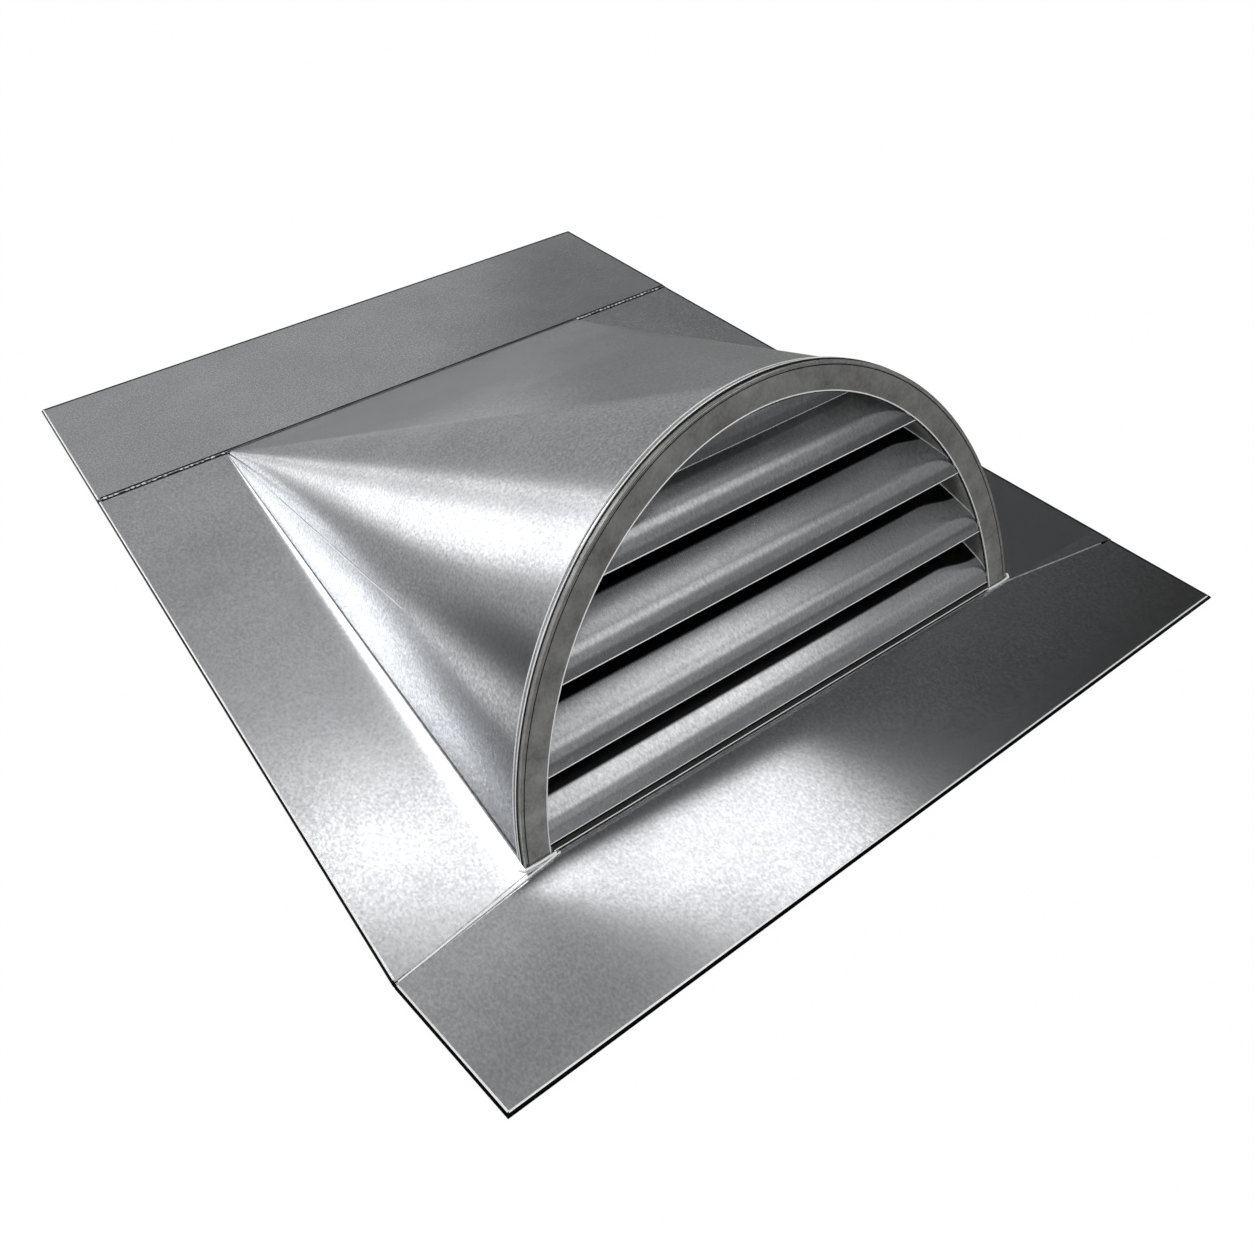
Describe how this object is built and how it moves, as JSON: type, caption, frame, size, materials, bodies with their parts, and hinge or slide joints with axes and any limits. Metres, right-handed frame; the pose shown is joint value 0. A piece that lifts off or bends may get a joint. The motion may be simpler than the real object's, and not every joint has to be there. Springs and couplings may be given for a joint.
{
  "type": "dormer roof vent",
  "caption": "Low sheet-metal dormer roof vent: an arched, louvred face under a hood that slopes back into a flat roof flashing, letting attic air out and keeping rain out.",
  "frame": {"origin": "centre of the flashing's underside, between its outermost edges", "axes": "+X to the right along the louvred face seen from the front, +Y up the roof slope from the face towards the head flashing, +Z away from the roof"},
  "size_m": [0.674, 0.942, 0.2547],
  "materials": {
    "flashing_sheet": "mill galvanised sheet, fine mottled grain, satin",
    "hood_sheet": "mill galvanised sheet, fine mottled grain, satin",
    "frame_sheet": "duller galvanised sheet with cloudy spangle",
    "louver_sheet": "brushed galvanised sheet, satin"
  },
  "bodies": {
    "root": {"head_flashing": "flashing_sheet", "side_flashing_left": "flashing_sheet", "side_flashing_right": "flashing_sheet", "front_apron": "flashing_sheet", "hood": "hood_sheet", "face_frame": "frame_sheet", "louver_1": "louver_sheet", "louver_2": "louver_sheet", "louver_3": "louver_sheet", "louver_4": "louver_sheet", "louver_5": "louver_sheet"}
  },
  "joints": []
}
